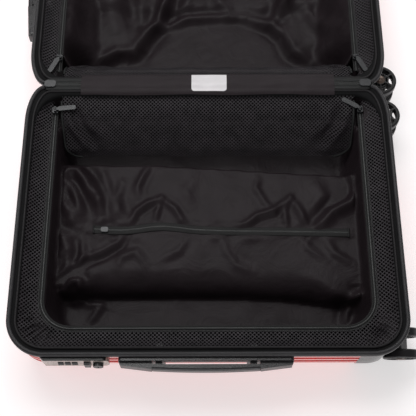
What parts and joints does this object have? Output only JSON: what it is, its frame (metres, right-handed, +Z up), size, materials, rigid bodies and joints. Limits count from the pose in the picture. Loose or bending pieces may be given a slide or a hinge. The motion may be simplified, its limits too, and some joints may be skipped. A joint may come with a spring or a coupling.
{
  "type": "hard shell suitcase on wheels",
  "caption": "Open hard shell suitcase: two ribbed shells on a zip hinge, mesh and fabric linings, pull-out trolley and carry handles, dial lock and swivelling twin-wheel casters.",
  "frame": {"origin": "on the floor, under the middle of the open case", "axes": "+Z up; +X along the case towards its wheels; +Y from the base half to the lid half, across the hinge"},
  "size_m": [0.5454, 0.8016, 0.0993],
  "materials": {
    "shell_polycarbonate": "gloss",
    "zip_tape": "woven",
    "piping": "satin",
    "mesh_fabric": "open mesh",
    "lining_fabric": "woven polyester",
    "sleeve_fabric": "woven polyester",
    "handle_plastic": "fine grain",
    "housing_plastic": "fine grain",
    "lock_metal": "satin",
    "lock_trim": "gloss",
    "slider_metal": "satin",
    "tube_aluminium": "brushed",
    "wheel_plastic": "fine grain"
  },
  "bodies": {
    "base": {"base_shell": "shell_polycarbonate", "base_rim_zip": "zip_tape", "base_rim_piping": "piping", "base_divider_track": "zip_tape", "base_mesh_border": "mesh_fabric", "base_lining": "lining_fabric", "base_divider": "mesh_fabric", "base_sleeve_half": "sleeve_fabric", "side_handle_plate": "handle_plastic", "side_handle_brackets": "handle_plastic", "lock_case": "lock_metal", "trolley_outer_tubes": "tube_aluminium", "trolley_cup": "housing_plastic", "trolley_foot_bracket": "housing_plastic", "lining_zip": "zip_tape", "caster_housing_base_hinge": "housing_plastic", "caster_housing_base_side": "housing_plastic"},
    "lid": {"lid_shell": "shell_polycarbonate", "lid_rim_zip": "zip_tape", "lid_rim_piping": "piping", "lid_divider_track": "zip_tape", "lid_mesh_border": "mesh_fabric", "lid_lining": "lining_fabric", "lid_divider": "mesh_fabric", "lid_sleeve_half": "sleeve_fabric", "top_handle_plate": "handle_plastic", "top_handle_brackets": "handle_plastic", "caster_housing_lid_hinge": "housing_plastic", "caster_housing_lid_side": "housing_plastic"},
    "hinge_zip": {"hinge_zip_chain": "zip_tape"},
    "main_slider_top_end": {"main_slider_top_end": "slider_metal"},
    "main_slider_wheel_end": {"main_slider_wheel_end": "slider_metal"},
    "base_divider_slider_top_end": {"base_divider_slider_top_end": "slider_metal"},
    "base_divider_puller_top_end": {"base_divider_puller_top_end": "slider_metal"},
    "base_divider_slider_wheel_end": {"base_divider_slider_wheel_end": "slider_metal"},
    "base_divider_puller_wheel_end": {"base_divider_puller_wheel_end": "slider_metal"},
    "lid_divider_slider_top_end": {"lid_divider_slider_top_end": "slider_metal"},
    "lid_divider_puller_top_end": {"lid_divider_puller_top_end": "slider_metal"},
    "lid_divider_slider_wheel_end": {"lid_divider_slider_wheel_end": "slider_metal"},
    "lid_divider_puller_wheel_end": {"lid_divider_puller_wheel_end": "slider_metal"},
    "lining_zip_slider": {"lining_zip_slider": "slider_metal"},
    "trolley_middle": {"trolley_middle_tubes": "tube_aluminium"},
    "trolley_inner": {"trolley_inner_tubes": "tube_aluminium", "trolley_grip": "handle_plastic"},
    "trolley_button": {"trolley_button": "lock_trim"},
    "side_handle_grip": {"side_handle_grip": "handle_plastic"},
    "top_handle_grip": {"top_handle_grip": "handle_plastic"},
    "lock_dial_1": {"lock_dial_1": "lock_trim"},
    "lock_dial_2": {"lock_dial_2": "lock_trim"},
    "lock_dial_3": {"lock_dial_3": "lock_trim"},
    "lock_release_button": {"lock_release_button": "lock_trim"},
    "lock_key_core": {"lock_key_core": "lock_trim"},
    "caster_fork_base_hinge": {"caster_fork_base_hinge": "housing_plastic"},
    "caster_wheels_base_hinge": {"caster_wheels_base_hinge": "wheel_plastic"},
    "caster_fork_base_side": {"caster_fork_base_side": "housing_plastic"},
    "caster_wheels_base_side": {"caster_wheels_base_side": "wheel_plastic"},
    "caster_fork_lid_hinge": {"caster_fork_lid_hinge": "housing_plastic"},
    "caster_wheels_lid_hinge": {"caster_wheels_lid_hinge": "wheel_plastic"},
    "caster_fork_lid_side": {"caster_fork_lid_side": "housing_plastic"},
    "caster_wheels_lid_side": {"caster_wheels_lid_side": "wheel_plastic"}
  },
  "joints": [
    {"name": "lid_hinge", "type": "hinge", "parent": "base", "child": "lid", "pos_m": [-0.00325, 0.00775, 0.098], "axis": [1, 0, 0], "range_deg": [0, 180]},
    {"name": "hinge_zip_fold", "type": "hinge", "parent": "base", "child": "hinge_zip", "pos_m": [-0.00325, 0.00775, 0.098], "axis": [1, 0, 0], "range_deg": [0, 90]},
    {"name": "main_slider_top_end_travel", "type": "slide", "parent": "hinge_zip", "child": "main_slider_top_end", "axis": [1, 0, 0], "range_m": [0, 0.035]},
    {"name": "main_slider_wheel_end_travel", "type": "slide", "parent": "hinge_zip", "child": "main_slider_wheel_end", "axis": [-1, 0, 0], "range_m": [0, 0.035]},
    {"name": "base_divider_slider_top_end_travel", "type": "slide", "parent": "base", "child": "base_divider_slider_top_end", "axis": [0, -1, 0], "range_m": [0, 0.255]},
    {"name": "base_divider_puller_top_end_lift", "type": "hinge", "parent": "base_divider_slider_top_end", "child": "base_divider_puller_top_end", "pos_m": [-0.2175, -0.02825, 0.0887], "axis": [-0.1045, 0.9945, 0], "range_deg": [-150, 0]},
    {"name": "base_divider_slider_wheel_end_travel", "type": "slide", "parent": "base", "child": "base_divider_slider_wheel_end", "axis": [0, -1, 0], "range_m": [0, 0.255]},
    {"name": "base_divider_puller_wheel_end_lift", "type": "hinge", "parent": "base_divider_slider_wheel_end", "child": "base_divider_puller_wheel_end", "pos_m": [0.211, -0.02825, 0.0887], "axis": [-0.5299, -0.848, 0], "range_deg": [-150, 0]},
    {"name": "lid_divider_slider_top_end_travel", "type": "slide", "parent": "lid", "child": "lid_divider_slider_top_end", "axis": [0, 1, 0], "range_m": [0, 0.24]},
    {"name": "lid_divider_puller_top_end_lift", "type": "hinge", "parent": "lid_divider_slider_top_end", "child": "lid_divider_puller_top_end", "pos_m": [-0.2175, 0.05975, 0.0887], "axis": [0.8988, -0.4384, 0], "range_deg": [-150, 0]},
    {"name": "lid_divider_slider_wheel_end_travel", "type": "slide", "parent": "lid", "child": "lid_divider_slider_wheel_end", "axis": [0, 1, 0], "range_m": [0, 0.24]},
    {"name": "lid_divider_puller_wheel_end_lift", "type": "hinge", "parent": "lid_divider_slider_wheel_end", "child": "lid_divider_puller_wheel_end", "pos_m": [0.211, 0.05975, 0.0887], "axis": [0.8988, 0.4384, 0], "range_deg": [-150, 0]},
    {"name": "lining_zip_slider_travel", "type": "slide", "parent": "base", "child": "lining_zip_slider", "axis": [1, 0, 0], "range_m": [0, 0.31]},
    {"name": "trolley_first_stage", "type": "slide", "parent": "base", "child": "trolley_middle", "axis": [-1, 0, 0], "range_m": [0, 0.25]},
    {"name": "trolley_second_stage", "type": "slide", "parent": "trolley_middle", "child": "trolley_inner", "axis": [-1, 0, 0], "range_m": [0, 0.25]},
    {"name": "trolley_button_press", "type": "slide", "parent": "trolley_inner", "child": "trolley_button", "axis": [1, 0, 0], "range_m": [0, 0.003], "stiffness_N_per_m": 600},
    {"name": "side_handle_pull", "type": "slide", "parent": "base", "child": "side_handle_grip", "axis": [0, -1, 0], "range_m": [0, 0.018], "stiffness_N_per_m": 300},
    {"name": "top_handle_pull", "type": "slide", "parent": "lid", "child": "top_handle_grip", "axis": [-1, 0, 0], "range_m": [0, 0.018], "stiffness_N_per_m": 300},
    {"name": "lock_dial_1_turn", "type": "hinge", "parent": "base", "child": "lock_dial_1", "pos_m": [-0.18675, -0.38225, 0.0785], "axis": [1, 0, 0], "continuous": true},
    {"name": "lock_dial_2_turn", "type": "hinge", "parent": "base", "child": "lock_dial_2", "pos_m": [-0.17815, -0.38225, 0.0785], "axis": [1, 0, 0], "continuous": true},
    {"name": "lock_dial_3_turn", "type": "hinge", "parent": "base", "child": "lock_dial_3", "pos_m": [-0.16955, -0.38225, 0.0785], "axis": [1, 0, 0], "continuous": true},
    {"name": "lock_release_press", "type": "slide", "parent": "base", "child": "lock_release_button", "axis": [0, 1, 0], "range_m": [0, 0.002], "stiffness_N_per_m": 500},
    {"name": "lock_key_turn", "type": "hinge", "parent": "base", "child": "lock_key_core", "pos_m": [-0.14025, -0.38925, 0.0785], "axis": [0, 1, 0], "range_deg": [0, 90]},
    {"name": "caster_swivel_base_hinge", "type": "hinge", "parent": "base", "child": "caster_fork_base_hinge", "pos_m": [0.21825, -0.03125, 0.041], "axis": [1, 0, 0], "continuous": true},
    {"name": "caster_spin_base_hinge", "type": "hinge", "parent": "caster_fork_base_hinge", "child": "caster_wheels_base_hinge", "pos_m": [0.24875, -0.02125, 0.041], "axis": [0, 0, 1], "continuous": true},
    {"name": "caster_swivel_base_side", "type": "hinge", "parent": "base", "child": "caster_fork_base_side", "pos_m": [0.21825, -0.35375, 0.041], "axis": [1, 0, 0], "continuous": true},
    {"name": "caster_spin_base_side", "type": "hinge", "parent": "caster_fork_base_side", "child": "caster_wheels_base_side", "pos_m": [0.24875, -0.35184, 0.03118], "axis": [0, 0.9816, 0.1908], "continuous": true},
    {"name": "caster_swivel_lid_hinge", "type": "hinge", "parent": "lid", "child": "caster_fork_lid_hinge", "pos_m": [0.21825, 0.04675, 0.041], "axis": [1, 0, 0], "continuous": true},
    {"name": "caster_spin_lid_hinge", "type": "hinge", "parent": "caster_fork_lid_hinge", "child": "caster_wheels_lid_hinge", "pos_m": [0.24875, 0.03675, 0.041], "axis": [0, 0, -1], "continuous": true},
    {"name": "caster_swivel_lid_side", "type": "hinge", "parent": "lid", "child": "caster_fork_lid_side", "pos_m": [0.21825, 0.36925, 0.041], "axis": [1, 0, 0], "continuous": true},
    {"name": "caster_spin_lid_side", "type": "hinge", "parent": "caster_fork_lid_side", "child": "caster_wheels_lid_side", "pos_m": [0.24875, 0.36925, 0.031], "axis": [0, 1, 0], "continuous": true}
  ],
  "couplings": [
    {"joint": "hinge_zip_fold", "follows": "lid_hinge", "ratio": 0.5}
  ]
}
